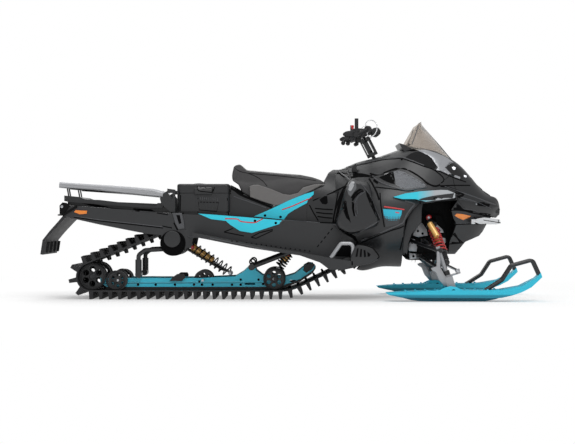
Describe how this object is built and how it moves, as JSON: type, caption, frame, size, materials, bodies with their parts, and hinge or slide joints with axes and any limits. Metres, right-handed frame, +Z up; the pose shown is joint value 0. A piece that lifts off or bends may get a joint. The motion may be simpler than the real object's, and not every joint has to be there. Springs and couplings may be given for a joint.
{
  "type": "utility snowmobile",
  "caption": "Tracked snow vehicle with a saddle seat, a rear rack with a lidded box, a smoked windshield, and sprung steered skis at the front.",
  "frame": {"origin": "on the ground under the centre of the vehicle", "axes": "+X forward to the skis, +Y to the rider's left, +Z up"},
  "size_m": [3.354, 1.254, 1.2213],
  "materials": {
    "track_rubber": "matt black rubber",
    "rail_paint": "blue painted alloy",
    "shoe_plastic": "black slide plastic",
    "wheel_plastic": "black moulded plastic",
    "bright_steel": "plain steel",
    "black_steel": "black paint",
    "shock_gold": "gold anodised",
    "tunnel_paint": "dark grey paint",
    "bright_alloy": "plain alloy",
    "body_black": "dark grey grained plastic",
    "flap_rubber": "dark rubber",
    "lamp_red": "red lens",
    "lamp_orange": "orange reflector",
    "seat_cover": "black coated fabric",
    "seat_grey": "grey coated fabric",
    "accent_blue": "light blue gloss",
    "accent_silver": "silver fading to light blue",
    "lens_clear": "lamp lens",
    "mesh_grey": "grey mesh",
    "screen_tint": "smoked screen",
    "engine_cast": "cast alloy",
    "spring_red": "red paint",
    "ski_plastic": "light blue moulded plastic",
    "grip_rubber": "black rubber"
  },
  "bodies": {
    "chassis": {"track": "track_rubber", "skid_rails": "rail_paint", "rail_stops": "shoe_plastic", "slide_shoes": "shoe_plastic", "skid_wheels": "wheel_plastic", "skid_axles": "bright_steel", "skid_arms": "black_steel", "skid_shocks": "shock_gold", "drive_axle": "wheel_plastic", "tunnel": "tunnel_paint", "running_boards": "tunnel_paint", "toe_holds": "bright_alloy", "rear_rack": "body_black", "rack_rail": "bright_alloy", "rack_brackets": "body_black", "snow_flap": "flap_rubber", "tow_hitch": "black_steel", "tail_lamp": "lamp_red", "side_reflectors": "lamp_orange", "cargo_box": "body_black", "seat_cushion": "seat_cover", "seat_base": "body_black", "seat_panels": "seat_grey", "accent_plates": "accent_blue", "console": "body_black", "hood": "body_black", "side_panels": "body_black", "belly_pan": "body_black", "nose_cone": "body_black", "nose_chin": "body_black", "headlight": "lens_clear", "side_grilles": "mesh_grey", "side_covers": "body_black", "fender_wings": "accent_silver", "windshield": "screen_tint", "gauge_pod": "body_black", "front_bumper": "bright_alloy", "engine": "engine_cast", "front_frame": "bright_alloy", "frame_castings": "bright_alloy", "a_arms": "black_steel", "front_shocks": "shock_gold", "front_springs": "spring_red"},
    "steering": {"steering_post": "black_steel", "handlebar": "black_steel", "hand_controls": "grip_rubber"},
    "tie_rod_set": {"tie_rods": "bright_steel"},
    "left_knuckle": {"knuckle_left": "bright_alloy"},
    "right_knuckle": {"knuckle_right": "bright_alloy"},
    "left_ski": {"ski_left": "ski_plastic", "ski_loop_left": "black_steel"},
    "right_ski": {"ski_right": "ski_plastic", "ski_loop_right": "black_steel"},
    "lid": {"cargo_lid": "body_black", "lid_latch": "body_black"}
  },
  "joints": [
    {"name": "steering_turn", "type": "hinge", "parent": "chassis", "child": "steering", "pos_m": [0.6, 0, 0.965], "axis": [-0.454, 0, 0.891], "range_deg": [-34, 34]},
    {"name": "left_kingpin_turn", "type": "hinge", "parent": "chassis", "child": "left_knuckle", "pos_m": [1.05, 0.5, 0.185], "axis": [-0.3104, 0, 0.9506], "range_deg": [-29, 29]},
    {"name": "right_kingpin_turn", "type": "hinge", "parent": "chassis", "child": "right_knuckle", "pos_m": [1.05, -0.5, 0.185], "axis": [-0.3104, 0, 0.9506], "range_deg": [-29, 29]},
    {"name": "tie_rod_slide", "type": "slide", "parent": "chassis", "child": "tie_rod_set", "axis": [0, 1, 0], "range_m": [-0.04, 0.04]},
    {"name": "left_ski_pitch", "type": "hinge", "parent": "left_knuckle", "child": "left_ski", "pos_m": [1.09, 0.535, 0.07], "axis": [0, -1, 0], "range_deg": [-10, 15]},
    {"name": "right_ski_pitch", "type": "hinge", "parent": "right_knuckle", "child": "right_ski", "pos_m": [1.09, -0.535, 0.07], "axis": [0, -1, 0], "range_deg": [-10, 15]},
    {"name": "lid_hinge", "type": "hinge", "parent": "chassis", "child": "lid", "pos_m": [-0.585, 0.274, 0.722], "axis": [-1, 0, 0], "range_deg": [0, 95]}
  ],
  "couplings": [
    {"joint": "left_kingpin_turn", "follows": "steering_turn", "ratio": 0.85},
    {"joint": "right_kingpin_turn", "follows": "steering_turn", "ratio": 0.85},
    {"joint": "tie_rod_slide", "follows": "steering_turn", "m_per_rad": 0.0619}
  ]
}
